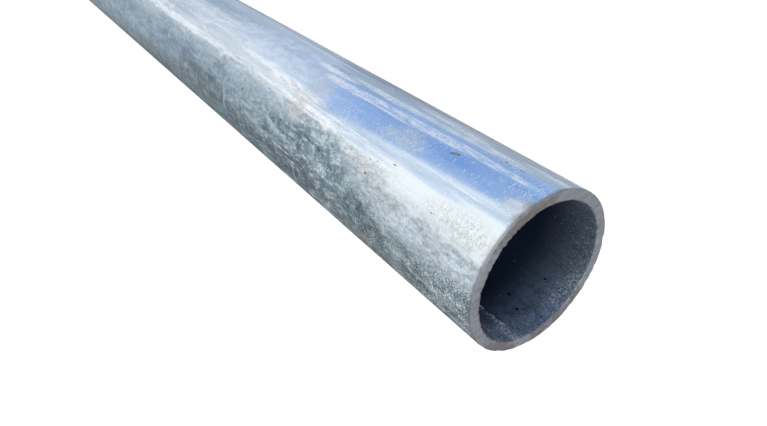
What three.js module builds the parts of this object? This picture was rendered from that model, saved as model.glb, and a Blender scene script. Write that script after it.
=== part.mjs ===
// Galvanised steel tube, 48.3 mm outside diameter with a 3.2 mm wall, in a 1 m cut length.
//
// The tube is rolled from strip and closed by one electric resistance weld along its whole length.
// The weld leaves a low rounded bead down the inside, and the outside is trimmed round. Both ends are
// sawn square, and a light deburr breaks their sharp edges. It is one piece of steel, so it is one mesh:
// the cross-section with its bore and bead is a profile, and the tube is that profile extruded.
//
// Millimetres, +Z up. The tube stands on one sawn end, with its axis on Z and the weld bead towards +Y.
import * as THREE from "three";

// Driving dimensions.
const OUTSIDE_DIAMETER = 48.3;
const WALL = 3.2;
const TUBE_LENGTH = 1000;
const BEAD_WIDTH = 3.2; // across the weld bead, where it meets the bore
const BEAD_HEIGHT = 0.7; // how far the bead's crest stands into the bore
const BEAD_ANGLE = 90; // degrees round the axis to the bead, from +X towards +Y
const EDGE_BREAK = 0.3; // the 45 degree deburr on the inner and outer edges of both ends

// Smoothness of the facets.
const SKIN_FACETS = 192; // a multiple of four puts corners on X and Y, so the box has the true diameter
const BEAD_FACETS = 10;

const outsideRadius = OUTSIDE_DIAMETER / 2;
const boreRadius = outsideRadius - WALL;

/**
 * Points along a circular arc, its two ends included.
 * @param {THREE.Vector2} centre centre of the arc
 * @param {number} radius radius of the arc
 * @param {number} from start angle, in radians
 * @param {number} to end angle, in radians; the arc turns clockwise if it is less than from
 * @param {number} facets number of straight steps along the arc
 * @returns {THREE.Vector2[]} facets + 1 points
 */
function arcPoints(centre, radius, from, to, facets) {
  const clockwise = to < from;
  const arc = new THREE.EllipseCurve(centre.x, centre.y, radius, radius, from, to, clockwise);
  return arc.getPoints(facets);
}

/**
 * The outside of the tube: a closed circle.
 * @returns {THREE.Shape} the outline
 */
function outsideOutline() {
  const ring = arcPoints(new THREE.Vector2(0, 0), outsideRadius, 0, 2 * Math.PI, SKIN_FACETS);
  return new THREE.Shape(ring.slice(0, -1)); // the last point repeats the first
}

/**
 * The bore with the weld bead standing into it. The bead is a low arc whose two feet lie on the bore.
 * @returns {THREE.Path} the hole's outline
 */
function boreOutline() {
  const beadDirection = THREE.MathUtils.degToRad(BEAD_ANGLE);
  const halfSpan = Math.asin(BEAD_WIDTH / 2 / boreRadius);

  // The bead's own arc passes through both feet and its crest.
  const feetDistance = boreRadius * Math.cos(halfSpan);
  const crestDistance = boreRadius - BEAD_HEIGHT;
  const rise = feetDistance - crestDistance;
  const beadRadius = ((BEAD_WIDTH / 2) ** 2 + rise ** 2) / (2 * rise);
  const centreDistance = crestDistance + beadRadius;
  const halfSweep = Math.atan2(BEAD_WIDTH / 2, centreDistance - feetDistance);
  const beadCentre = new THREE.Vector2(
    centreDistance * Math.cos(beadDirection), centreDistance * Math.sin(beadDirection));

  const bore = arcPoints(
    new THREE.Vector2(0, 0), boreRadius,
    beadDirection + halfSpan, beadDirection + 2 * Math.PI - halfSpan, SKIN_FACETS);
  // Seen from the bead's centre the crest lies towards the axis, half a turn from the bead's direction.
  const towardsAxis = beadDirection + Math.PI;
  const bead = arcPoints(
    beadCentre, beadRadius, towardsAxis + halfSweep, towardsAxis - halfSweep, BEAD_FACETS);
  return new THREE.Path([...bore, ...bead.slice(1, -1)]);
}

/**
 * The whole tube: the section extruded along Z, with the end edges broken inside and outside.
 * @returns {THREE.ExtrudeGeometry} a closed body from z = 0 to z = TUBE_LENGTH
 */
function tubeGeometry() {
  const section = outsideOutline();
  section.holes.push(boreOutline());
  const geometry = new THREE.ExtrudeGeometry(section, {
    depth: TUBE_LENGTH - 2 * EDGE_BREAK,
    steps: 1,
    bevelEnabled: true,
    bevelSegments: 1,
    bevelThickness: EDGE_BREAK,
    bevelSize: EDGE_BREAK,
    bevelOffset: -EDGE_BREAK, // the section keeps its size, and only its ends are drawn in
  });
  geometry.translate(0, 0, EDGE_BREAK);
  return geometry;
}

const galvanisedSteel = new THREE.MeshStandardMaterial({
  name: "galvanised_steel",
  color: 0xb4bcc2,
  roughness: 0.38,
  metalness: 0.9,
});

const tube = new THREE.Mesh(tubeGeometry(), galvanisedSteel);
tube.name = "tube";

const steelTube = new THREE.Group();
steelTube.name = "galvanised_steel_tube";
steelTube.add(tube);

export default steelTube;
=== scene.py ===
import logging
import math
from collections.abc import Iterable, Sequence
from dataclasses import dataclass, field
from enum import Enum
from typing import Any, ClassVar, NamedTuple

import bpy
from mathutils import Matrix, Vector


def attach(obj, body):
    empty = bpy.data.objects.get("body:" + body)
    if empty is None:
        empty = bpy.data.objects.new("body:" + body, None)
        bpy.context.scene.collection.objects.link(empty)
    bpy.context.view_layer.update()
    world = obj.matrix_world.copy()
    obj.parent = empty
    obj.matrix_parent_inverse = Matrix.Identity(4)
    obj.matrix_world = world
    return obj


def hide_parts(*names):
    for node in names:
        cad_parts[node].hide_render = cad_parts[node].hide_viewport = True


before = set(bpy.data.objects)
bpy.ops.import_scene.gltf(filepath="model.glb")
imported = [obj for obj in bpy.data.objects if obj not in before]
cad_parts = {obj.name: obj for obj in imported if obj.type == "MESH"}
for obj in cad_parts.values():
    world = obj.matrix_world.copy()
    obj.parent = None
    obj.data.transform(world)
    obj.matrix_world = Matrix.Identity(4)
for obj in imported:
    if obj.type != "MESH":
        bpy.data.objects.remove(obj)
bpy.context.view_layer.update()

log = logging.getLogger("tube")

MM = 0.001  # metres in a millimetre
CM = 0.01  # metres in a centimetre

Socket = bpy.types.NodeSocket
Tree = bpy.types.NodeTree


def linear(colour: str) -> tuple[float, float, float, float]:
    """Turn an sRGB colour into the linear one that a shader works in.

    Args:
        colour: The colour as "#RRGGBB".

    Returns:
        Linear red, green and blue, and an alpha of one.
    """
    channels = [int(colour[i:i + 2], 16) / 255 for i in (1, 3, 5)]
    red, green, blue = (
        c / 12.92 if c <= 0.04045 else ((c + 0.055) / 1.055) ** 2.4 for c in channels)
    return red, green, blue, 1.0


def add_node(tree: Tree, kind: str, inputs: dict[int | str, Any] | Sequence[Any] = (),
             **settings: Any) -> Socket:
    """Add one node with its settings and links.

    Args:
        tree: The tree that gets the node.
        kind: The node's type.
        inputs: A socket to link or a value for each input, in order, or by index or by name.
        settings: The node's own properties.

    Returns:
        The node's first output in use, whose .node is the node, or its first input if it has none.
    """
    node = tree.nodes.new(kind)
    for name, value in settings.items():
        setattr(node, name, value)
    for key, value in inputs.items() if isinstance(inputs, dict) else enumerate(inputs):
        socket = node.inputs[key] if isinstance(key, int) else next(
            s for s in node.inputs if s.enabled and s.name == key)
        if isinstance(value, Socket):
            tree.links.new(value, socket)
        else:
            socket.default_value = value
    return next((s for s in node.outputs if s.enabled), None) or node.inputs[0]


def empty_material(name: str) -> bpy.types.Material:
    """Make a material that has no nodes yet.

    Args:
        name: The material's name.

    Returns:
        The material.
    """
    material = bpy.data.materials.new(name)
    material.use_nodes = True
    material.node_tree.nodes.clear()
    return material


def mesh_object(name: str, points: Sequence[Sequence[float]],
                edges: Sequence[Sequence[int]] = (),
                faces: Sequence[Sequence[int]] = ()) -> bpy.types.Object:
    """Make an object from points and link it to the scene.

    Args:
        name: Name of the object and of its mesh.
        points: The points, in metres.
        edges: Pairs of points, by number.
        faces: Corners of each face, by number.

    Returns:
        The object.
    """
    mesh = bpy.data.meshes.new(name)
    mesh.from_pydata(points, edges, faces)
    made = bpy.data.objects.new(name, mesh)
    bpy.context.collection.objects.link(made)
    return made


# ---------------------------------------------------------------------------------------------
# View and studio
# ---------------------------------------------------------------------------------------------

@dataclass(frozen=True)
class Viewpoint:
    """The camera, close to the open end and looking down along the tube."""

    position: tuple[float, float, float] = (0.129216, -0.074217, 1.081937)
    right: tuple[float, float, float] = (-0.79400, -0.20534, 0.57219)
    forward: tuple[float, float, float] = (-0.59983, 0.41776, -0.68242)
    lens: float = 30.07
    sensor: float = 36.0
    clip: tuple[float, float] = (0.01, 60.0)

    def build(self) -> bpy.types.Object:
        """Make the camera and set it as the scene's own.

        Returns:
            The camera.
        """
        data = bpy.data.cameras.new("camera")
        data.lens, data.sensor_width = self.lens, self.sensor
        data.clip_start, data.clip_end = self.clip
        forward = Vector(self.forward).normalized()
        right = Vector(self.right)
        right = (right - forward * right.dot(forward)).normalized()
        turned = Matrix((right, right.cross(forward), -forward)).transposed()
        camera = bpy.data.objects.new("camera", data)
        camera.matrix_world = Matrix.Translation(self.position) @ turned.to_4x4()
        bpy.context.collection.objects.link(camera)
        bpy.context.scene.camera = camera
        return camera


@dataclass(frozen=True)
class SoftKey:
    """The key light: very large and very far, so it is even over the tube and the floor."""

    azimuth: float = -20.0  # degrees round the axis from +X towards +Y
    elevation: float = 52.0  # degrees above the floor
    strength: float = 1.8
    softness: float = 35.0  # how wide the light looks from the tube, in degrees

    def build(self) -> bpy.types.Object:
        """Make the lamp.

        Returns:
            The lamp's object.
        """
        lamp = bpy.data.lights.new("soft_key", "SUN")
        lamp.energy = self.strength
        lamp.angle = math.radians(self.softness)
        key = bpy.data.objects.new("soft_key", lamp)
        turn, rise = math.radians(self.azimuth), math.radians(self.elevation)
        towards = Vector((math.cos(rise) * math.cos(turn), math.cos(rise) * math.sin(turn),
                          math.sin(rise)))
        key.rotation_euler = towards.to_track_quat("Z", "Y").to_euler()
        bpy.context.collection.objects.link(key)
        return key


@dataclass(frozen=True)
class Card:
    """A standing curved card round the tube, which only metal sees, as its reflection.

    A foot carries the card on over the floor towards the tube.
    """

    name: str
    turns: tuple[float, float]  # of its side edges above the knee, degrees from +X towards +Y
    heights: tuple[float, float, float]  # of its lower edge, knee and upper edge, in metres
    colour: str
    strength: float = 1.0
    lower_turns: tuple[float, float] | None = None  # at its lower edge, where they differ
    radius: float = 0.6
    foot: float = 0.0  # how near the axis the foot reaches, in metres, or none
    steps: int = 24

    def build(self) -> bpy.types.Object:
        """Make the card and its even glow.

        Returns:
            The card.
        """
        lower = self.lower_turns or self.turns
        bottom, knee, top = self.heights
        levels = [(self.radius, top, self.turns), (self.radius, knee, self.turns),
                  (self.radius, bottom, lower)]
        if self.foot:
            levels.append((self.foot, bottom, lower))
        points, faces = [], []
        for step in range(self.steps + 1):
            for radius, height, (first, last) in levels:
                turn = math.radians(first + (last - first) * step / self.steps)
                points.append((radius * math.cos(turn), radius * math.sin(turn), height))
        rows = len(levels)
        for step in range(self.steps):
            for row in range(rows - 1):
                first = step * rows + row
                faces.append((first, first + 1, first + 1 + rows, first + rows))
        card = mesh_object(self.name, points, faces=faces)
        card.visible_camera = card.visible_diffuse = card.visible_shadow = False
        material = empty_material(self.name)
        tree = material.node_tree
        glow = add_node(tree, "ShaderNodeEmission", {
            "Color": linear(self.colour), "Strength": self.strength})
        add_node(tree, "ShaderNodeOutputMaterial", {"Surface": glow})
        card.data.materials.append(material)
        return card


# Heights of the cards' lower edge, knee and upper edge, in metres.
FRONT = (0.10, 0.66, 1.4)
BACK = (0.30, 0.66, 1.4)
BACK_LOW = (0.003, 0.15, 0.298)


@dataclass(frozen=True)
class Studio:
    """A pale floor, a pale world, one soft key light, and cards that the zinc mirrors."""

    floor_size: float = 24.0
    floor_colour: str = "#F4F4F4"
    floor_lift: float = 0.10  # brings the open floor up to white and keeps the shadow
    world_light: float = 0.68  # on matt surfaces
    key: SoftKey = SoftKey()
    cards: tuple[Card, ...] = (
        Card("white_card", (-56, 8), FRONT, "#FFFCF8", 1.42, (-30, -10)),
        Card("pale_sky_card", (-66, -56), FRONT, "#D3E3FA", 1.1, (-36, -30)),
        Card("white_line_card", (-75, -66), FRONT, "#FFFEFC", 1.4, (-39, -36)),
        Card("sky_card", (-136, -75), (0.085, 0.66, 1.4), "#A9CAFE", 1.0, (-112, -39)),
        Card("haze_card", (-154, -136), FRONT, "#C1CFE2", 1.0, (-150, -112)),
        Card("dusk_card", (-184, -154), FRONT, "#B3BECC", 1.0, (-184, -150)),
        Card("pale_low_card", (-102, -60), (0.003, 0.07, 0.083), "#F4F7FB", 1.2, foot=0.14),
        Card("haze_low_card", (-184, -102), (0.003, 0.09, 0.098), "#CEDAEA", 1.0, foot=0.14),
        Card("edge_card", (110, 134), BACK, "#565E66"),
        Card("back_card", (134, 160), BACK, "#8E99A4"),
        Card("far_edge_card", (160, 172), BACK, "#565E66"),
        Card("edge_low_card", (84, 134), BACK_LOW, "#2C3237", foot=0.12),
        Card("back_low_card", (134, 160), BACK_LOW, "#7C8690", foot=0.12),
        Card("far_edge_low_card", (160, 172), BACK_LOW, "#3A4147", foot=0.12),
    )

    @staticmethod
    def seen_plainly(tree: Tree) -> Socket:
        """Tell the camera's own rays, and what metal and glass show, from the light on things.

        Args:
            tree: The tree of the floor or the world.

        Returns:
            One where the surface is looked at or mirrored, and zero where it lights something.
        """
        path = add_node(tree, "ShaderNodeLightPath").node
        seen = path.outputs["Is Camera Ray"]
        for ray in ("Is Glossy Ray", "Is Transmission Ray"):
            seen = add_node(tree, "ShaderNodeMath", (seen, path.outputs[ray]), operation="MAXIMUM")
        return seen

    def build_floor(self) -> bpy.types.Object:
        """Make the floor, which shows white to the camera and in metal but keeps the shadow.

        Returns:
            The floor.
        """
        half = self.floor_size / 2
        corners = [(-half, -half, 0), (half, -half, 0), (half, half, 0), (-half, half, 0)]
        floor = mesh_object("floor", corners, faces=[(0, 1, 2, 3)])
        material = empty_material("pale_paper")
        tree = material.node_tree
        lift = add_node(tree, "ShaderNodeMath", (
            self.seen_plainly(tree), self.floor_lift), operation="MULTIPLY")
        matt = add_node(tree, "ShaderNodeBsdfDiffuse", {"Color": linear(self.floor_colour)})
        glow = add_node(tree, "ShaderNodeEmission", {"Strength": lift})
        both = add_node(tree, "ShaderNodeAddShader", (matt, glow))
        add_node(tree, "ShaderNodeOutputMaterial", {"Surface": both})
        floor.data.materials.append(material)
        return floor

    def build_world(self) -> None:
        """Make the world: white to the camera and in metal, softer on matt surfaces."""
        world = bpy.data.worlds.new("studio")
        bpy.context.scene.world = world
        world.use_nodes = True
        tree = world.node_tree
        tree.nodes.clear()
        strength = add_node(tree, "ShaderNodeMapRange", {
            "Value": self.seen_plainly(tree), "To Min": self.world_light, "To Max": 1.0})
        white = add_node(tree, "ShaderNodeBackground", {
            "Color": (1.0, 1.0, 1.0, 1.0), "Strength": strength})
        add_node(tree, "ShaderNodeOutputWorld", {"Surface": white})

    def build(self) -> None:
        """Make the whole studio and set the plain view transform."""
        self.build_floor()
        self.build_world()
        self.key.build()
        for card in self.cards:
            card.build()
        bpy.context.scene.view_settings.view_transform = "Standard"


# ---------------------------------------------------------------------------------------------
# Patterns on the tube
# ---------------------------------------------------------------------------------------------

class Ease(Enum):
    """How a share grows from its start to its full value."""

    SOFT = "SMOOTHSTEP"
    EVEN = "LINEAR"


@dataclass(frozen=True)
class Grain:
    """A random pattern, and the size of its features in millimetres."""

    across: float
    along: float
    detail: float  # how many finer layers it has
    roughness: float = 0.5  # how strong the finer layers are
    distortion: float = 0.0


@dataclass(frozen=True)
class Patch:
    """An oval place on the tube."""

    down: float  # its centre below the top end, in millimetres
    turn: float  # and round the axis, in degrees
    half_length: float  # in millimetres
    half_turn: float  # in degrees


@dataclass
class TubeCoordinates:
    """Where a point lies on the tube, for patterns: all of it comes from the Object coordinates.

    The lengths are in millimetres and the angles in degrees.
    """

    tree: Tree
    length: float
    place: Socket = field(init=False)  # the point itself
    turn: Socket = field(init=False)  # round the axis from +X towards +Y
    down: Socket = field(init=False)  # down from the top end

    def __post_init__(self) -> None:
        """Add the nodes."""
        tree = self.tree
        own = add_node(tree, "ShaderNodeTexCoord").node.outputs["Object"]
        self.place = add_node(tree, "ShaderNodeVectorMath", {0: own, "Scale": 1 / MM},
                              operation="SCALE")
        split = add_node(tree, "ShaderNodeSeparateXYZ", (self.place,)).node
        angle = add_node(tree, "ShaderNodeMath", (split.outputs["Y"], split.outputs["X"]),
                         operation="ARCTAN2")
        self.turn = add_node(tree, "ShaderNodeMath", (angle,), operation="DEGREES")
        self.down = add_node(tree, "ShaderNodeMath", (self.length, split.outputs["Z"]),
                             operation="SUBTRACT")

    def patterns(self, *grains: Grain) -> list[Socket]:
        """Lay random patterns over the tube.

        Args:
            grains: The patterns.

        Returns:
            Each pattern's value, from about 0.2 to 0.8, in the same order.
        """
        values = []
        for grain in grains:
            scaled = add_node(self.tree, "ShaderNodeVectorMath", (
                self.place, (1 / grain.across, 1 / grain.across, 1 / grain.along)),
                operation="MULTIPLY")
            values.append(add_node(self.tree, "ShaderNodeTexNoise", {
                "Vector": scaled, "Scale": 1.0, "Detail": grain.detail,
                "Roughness": grain.roughness, "Distortion": grain.distortion}))
        return values

    def dots(self, pitch: float, edge: float, core: float, most: float) -> Socket:
        """Scatter round dots.

        Args:
            pitch: About how far apart they are, in millimetres.
            edge: A dot's radius, as a share of the pitch.
            core: The radius within which it has its full strength, likewise.
            most: Its full strength.

        Returns:
            The dots' strength.
        """
        cells = add_node(self.tree, "ShaderNodeTexVoronoi", {
            "Vector": self.place, "Scale": 1 / pitch}, feature="F1")
        return add_node(self.tree, "ShaderNodeMapRange", {
            "Value": cells, "From Min": edge, "From Max": core, "To Max": most})

    def away_from(self, angle: float) -> Socket:
        """Turn from this angle to the point, in degrees either way, without a jump behind."""
        off = add_node(self.tree, "ShaderNodeMath", (self.turn, angle), operation="SUBTRACT")
        return add_node(self.tree, "ShaderNodeMath", (off, 180.0, -180.0), operation="WRAP")

    def facing(self, angle: float, start: float, full: float, most: float,
               ease: Ease = Ease.EVEN) -> Socket:
        """Share of something that lies to one side of the tube.

        Args:
            angle: The direction, in degrees round the axis.
            start: How many degrees from it the share starts.
            full: How many degrees from it the share is full.
            most: The full share.
            ease: How it grows in between.

        Returns:
            The share.
        """
        off = add_node(self.tree, "ShaderNodeMath", (self.away_from(angle),), operation="ABSOLUTE")
        return add_node(self.tree, "ShaderNodeMapRange", {
            "Value": off, "From Min": start, "From Max": full, "To Max": most},
            interpolation_type=ease.value)

    def near(self, patches: Iterable[Patch]) -> Socket:
        """How near a point is to the middle of the nearest patch.

        Args:
            patches: The patches.

        Returns:
            One at the middle of a patch, and zero at its edge and outside.
        """
        tree = self.tree
        nearest: Socket | float = 1.0
        for patch in patches:
            across = add_node(tree, "ShaderNodeMath", (
                self.away_from(patch.turn), patch.half_turn), operation="DIVIDE")
            across = add_node(tree, "ShaderNodeMath", (across, across), operation="MULTIPLY")
            along = add_node(tree, "ShaderNodeMath", (
                self.down, 1 / patch.half_length, -patch.down / patch.half_length),
                operation="MULTIPLY_ADD")
            both = add_node(tree, "ShaderNodeMath", (along, along, across),
                            operation="MULTIPLY_ADD")
            nearest = add_node(tree, "ShaderNodeMath", (both, nearest), operation="MINIMUM")
        return add_node(tree, "ShaderNodeMath", (1.0, nearest), operation="SUBTRACT",
                        use_clamp=True)


def weighed(tree: Tree, first: Socket, *others: tuple[Socket, float]) -> Socket:
    """Add up patterns, each by its weight.

    Args:
        tree: The material's tree.
        first: The value that the others are added to.
        others: The other values, each with its weight.

    Returns:
        The sum.
    """
    total = first
    for value, weight in others:
        total = add_node(tree, "ShaderNodeMath", (value, weight, total), operation="MULTIPLY_ADD")
    return total


def risen(tree: Tree, values: Sequence[Socket | tuple[Socket, float]], low: float, high: float,
          most: float = 1.0, least: float = 0.0, ease: Ease = Ease.SOFT) -> Socket:
    """How far a weighed sum has risen: the way all ragged marks on the tube get their outline.

    Args:
        tree: The material's tree.
        values: The first value, and then the others, each with its weight.
        low: The sum at which the share starts.
        high: The sum at which it is full.
        most: The full share.
        least: The share below the start.
        ease: How it grows in between.

    Returns:
        The share.
    """
    return add_node(tree, "ShaderNodeMapRange", {
        "Value": weighed(tree, *values), "From Min": low, "From Max": high, "To Min": least,
        "To Max": most}, interpolation_type=ease.value)


def layered(tree: Tree, ground: Socket | str, *layers: tuple[Socket, Socket | str]) -> Socket:
    """Lay colours over one another.

    Args:
        tree: The material's tree.
        ground: The lowest colour, as a socket or as "#RRGGBB".
        layers: Each layer's share and colour, from the lowest to the uppermost.

    Returns:
        The colour that shows.
    """
    colour = linear(ground) if isinstance(ground, str) else ground
    for share, over in layers:
        colour = add_node(tree, "ShaderNodeMix", {
            "Factor": share, "A": colour, "B": linear(over) if isinstance(over, str) else over},
            data_type="RGBA")
    return colour


# ---------------------------------------------------------------------------------------------
# Finishes
# ---------------------------------------------------------------------------------------------

@dataclass(frozen=True)
class Finish:
    """What the tube's finishes share: one metal shader over patterns laid on the tube."""

    name: ClassVar[str]
    relief: ClassVar[float]  # how deep its bumps look, in millimetres
    relief_strength: ClassVar[float]
    tube_length: float = 1000.0  # in millimetres

    def surface(self, where: TubeCoordinates) -> tuple[dict[str, Any], Socket]:
        """Add the finish's own nodes, for the shader's inputs and the height of its bumps."""
        raise NotImplementedError

    def material(self) -> bpy.types.Material:
        """Make the material.

        Returns:
            The material.
        """
        material = empty_material(self.name)
        tree = material.node_tree
        where = TubeCoordinates(tree, self.tube_length)
        inputs, height = self.surface(where)
        bump = add_node(tree, "ShaderNodeBump", {
            "Height": height, "Strength": self.relief_strength, "Distance": self.relief * MM})
        shader = add_node(tree, "ShaderNodeBsdfPrincipled", {**inputs, "Normal": bump})
        add_node(tree, "ShaderNodeOutputMaterial", {"Surface": shader})
        return material


class SkinNoise(NamedTuple):
    """The random patterns that several marks on the skin share."""

    ragged: Socket  # breaks up the outlines of marks
    wander: Socket  # lets broad marks wander along the tube
    strokes: Socket  # short fine strokes round the tube
    dust: Socket
    brushed: Socket  # streaks along the tube
    grit: Socket  # the finest, as fine as it can show


@dataclass(frozen=True)
class GalvanisedZinc(Finish):
    """Zinc from a hot bath, wiped as the tube left it and then weathered on one side.

    The wiped side is a bright, soft mirror with drawing streaks along the tube and hairlines round
    it. The weathered side has dulled to a matt, mottled grey-green with light flecks, and a pale
    veil lies where the two meet; its dark tone is partly patina and partly a painted reflection of
    the dark ground, and painted shade darkens it further along one line down the tube. Handling
    left scuffs, scratches, stains and a few dark specks, and painted shadows lie round two small
    lumps.
    """

    name: ClassVar[str] = "hot_dip_galvanised_zinc"
    relief: ClassVar[float] = 0.1
    relief_strength: ClassVar[float] = 0.35
    # The wiped side.
    bright: str = "#CBD6DE"
    streak_light: str = "#E8EFF4"
    streak_grey: str = "#9BA7B5"
    dulled: str = "#98A9BB"
    # The weathered side and its veil. The side's dark tone is partly patina and partly a
    # painted reflection of the dark ground.
    patina_dark: str = "#2F434D"
    patina: str = "#5C737F"
    patina_light: str = "#7C9098"
    # Painted shade on the weathered side: the tint of its darkest line, and the colour of its
    # darker places.
    painted_shade_tint: str = "#8FA6AA"
    shade: str = "#3A4D53"
    far_tint: str = "#7F95AC"
    fleck: str = "#C4CFD3"
    wisp: str = "#A3B3C0"
    veil_dark: str = "#8F9BA3"
    veil_light: str = "#BCC7D0"
    lace: str = "#B3C6DB"
    lace_line: str = "#DCE7F0"
    # Marks on both.
    tint: str = "#A3B9D6"
    haze_dark: str = "#B2BECD"
    haze_light: str = "#D6DDE5"
    frost: str = "#EFEDEA"
    scuff: str = "#B2B7BB"
    stain: str = "#857A70"
    grime: str = "#9D9B98"
    speck_and_shadow: str = "#55544F"
    edge_rust: str = "#5A534E"
    edge_worn: str = "#62656B"
    # Where the weathered side lies, in degrees round the axis.
    weathered_centre: float = 78.0
    weathered_half: float = 72.0  # from there to its edge near the end
    darkest: float = 42.0  # its darkest line
    behind: float = 126.0  # the middle of its paler back
    creep: float = 25.0  # how much further round it reaches lower down
    veil_width: float = 23.0  # how far the veil reaches beyond it near the end
    veil_thinning: float = 7.0  # the veil's width lower down
    edge_fade: tuple[float, float] = (7.0, 5.0)  # how far the edge fades, outwards and inwards
    veil_fade: tuple[float, float] = (8.0, 6.0)
    wiped_roughness: float = 0.17
    matt_roughness: float = 0.52
    matt_metal: float = 0.5  # the patina is half an oxide
    # Where the wiped side is duller and the weathered side paler, where painted shade darkens the
    # weathered side, and then the marks.
    dulls: tuple[Patch, ...] = (
        Patch(160, -16, 78, 11), Patch(270, -44, 130, 10), Patch(78, -5, 22, 9),
        Patch(104, -95, 60, 7))
    pales: tuple[Patch, ...] = (
        Patch(70, 5, 12, 8), Patch(11, 19, 13, 9), Patch(28, 18, 8, 4.5), Patch(420, 60, 60, 24),
        Patch(640, 100, 80, 30), Patch(880, 40, 70, 26))
    shades: tuple[Patch, ...] = (
        Patch(180, 21, 40, 17), Patch(128, 15, 46, 9), Patch(38, 31, 24, 7),
        Patch(74, 37, 24, 9), Patch(164, 2, 30, 7), Patch(228, 24, 50, 13),
        Patch(240, 38, 140, 11), Patch(600, 80, 90, 30))
    laces: tuple[Patch, ...] = (
        Patch(28, -4, 8, 7.5), Patch(9, -6, 5.5, 5.5), Patch(70.5, 3.5, 3.2, 4.5),
        Patch(64.5, -13, 2.6, 4.5))
    tints: tuple[Patch, ...] = (
        Patch(27, -36.5, 17, 3.2), Patch(66, -31, 30, 2.4), Patch(30, -59, 17, 6.5),
        Patch(430, -40, 120, 6), Patch(760, -100, 150, 12))
    hazes: tuple[Patch, ...] = (Patch(128, -62, 46, 24),)
    scratches: tuple[Patch, ...] = (
        Patch(26, -43.6, 27, 1.4), Patch(100, -32, 60, 3), Patch(52, -92, 40, 1.6),
        Patch(30, -84.5, 40, 1.4), Patch(18, 23, 24, 0.5), Patch(205, -31, 120, 6),
        Patch(120, -88, 60, 2), Patch(72, -36, 40, 0.8), Patch(128, -43, 36, 4.6),
        Patch(96, 11.5, 13, 0.5))
    frosts: tuple[Patch, ...] = (
        Patch(24, -70.6, 28, 4), Patch(44, -68.2, 22, 4.6), Patch(64, -65.6, 26, 5.2),
        Patch(82, -64, 18, 5), Patch(25, -81.8, 18, 3.8), Patch(46, -79, 20, 3),
        Patch(70, -76.8, 24, 4), Patch(42, -87.4, 20, 2.6), Patch(4, -89.8, 14, 3.6),
        Patch(1, -53, 7, 7), Patch(104, -40, 24, 6), Patch(88, -30, 22, 3.6),
        Patch(96, -72, 16, 4), Patch(420, -60, 60, 6), Patch(650, -70, 50, 5))
    scuffs: tuple[Patch, ...] = (
        Patch(3, -54, 8, 11), Patch(44, -54, 10, 13), Patch(51, -51, 9, 7),
        Patch(92, -50, 10, 18), Patch(94, -24, 5, 18), Patch(300, 150, 30, 20),
        Patch(620, -120, 40, 16), Patch(840, 20, 30, 14))
    stains: tuple[Patch, ...] = (
        Patch(60, -102, 70, 10), Patch(52, -98, 20, 5), Patch(190, -100, 110, 7),
        Patch(0.5, -47, 1.6, 10), Patch(0.9, -58, 2, 6), Patch(0.9, -46, 2, 5),
        Patch(0.4, -82, 1.2, 9))
    grimes: tuple[Patch, ...] = (
        Patch(10, -25, 18, 11), Patch(48, -19, 10, 6), Patch(55, -25, 8, 5),
        Patch(96, -30, 7, 16), Patch(990, 100, 14, 60))
    # Dark specks; those round each flake are the painted shadow of a small lump.
    specks_and_shadows: tuple[Patch, ...] = (
        Patch(30.6, -61.2, 1, 1.3), Patch(29.6, -62, 1, 1.6), Patch(28.5, -62.9, 0.8, 1.2),
        Patch(50.5, -17.2, 0.9, 1.5), Patch(41.9, -33.2, 1, 0.6), Patch(131, -12, 1, 2),
        Patch(370, -90, 1.6, 2.5), Patch(540, 60, 1.2, 2))
    dashes: tuple[Patch, ...] = (
        Patch(17, -79, 10, 1.6), Patch(36, -83, 8, 0.8), Patch(55, -14, 2.2, 0.7),
        Patch(48, -28.5, 1.6, 0.7), Patch(22, -22, 1.4, 0.8), Patch(300, 100, 30, 1))
    flakes: tuple[Patch, ...] = (Patch(29.5, -61.9, 0.5, 0.8), Patch(370, -90.5, 0.9, 1.2))

    def wiped(self, where: TubeCoordinates) -> Socket:
        """Colour of the bright side: streaks along the tube, duller further from the end.

        Args:
            where: The tube's coordinates in this material.

        Returns:
            The colour.
        """
        tree = where.tree
        # The wiping left fine streaks 1 to 2 mm wide and broad ones of 5 mm, both centimetres long.
        fine, broad, wisps = where.patterns(
            Grain(1.7, 60, 5.0, 0.6), Grain(5.0, 90, 3.0, 0.55), Grain(6.5, 26, 4.0, 0.55, 1.0))
        streaky = add_node(tree, "ShaderNodeMapRange", {
            "Value": where.down, "From Min": 20.0, "From Max": 120.0, "To Min": 0.25,
            "To Max": 0.5})
        light, grey, cloudy = (
            add_node(tree, "ShaderNodeMapRange", {
                "Value": streaks, "From Min": low, "From Max": high, "To Max": streaky},
                interpolation_type="SMOOTHSTEP")
            for streaks, low, high in (
                (fine, 0.50, 0.74), (broad, 0.54, 0.34), (wisps, 0.50, 0.70)))
        light = add_node(tree, "ShaderNodeMath", (light, cloudy), operation="MAXIMUM")
        dull = add_node(tree, "ShaderNodeMapRange", {
            "Value": where.down, "From Min": 80.0, "From Max": 270.0, "To Max": 0.95},
            interpolation_type="SMOOTHSTEP")
        duller = add_node(tree, "ShaderNodeMath", (where.near(self.dulls), 1.3),
                          operation="MULTIPLY", use_clamp=True)
        dull = add_node(tree, "ShaderNodeMath", (dull, duller), operation="MAXIMUM")
        return layered(tree, self.bright, (grey, self.streak_grey), (dull, self.dulled),
                       (light, self.streak_light))

    def mottled(self, where: TubeCoordinates, wander: Socket) -> tuple[Socket, Socket]:
        """Colour and height of the weathered side: patina and painted shade under flecks and wisps.

        Args:
            where: The tube's coordinates in this material.
            wander: A broad noise that lets the shaded places wander.

        Returns:
            The colour, and the clouds as a height.
        """
        tree = where.tree
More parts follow.
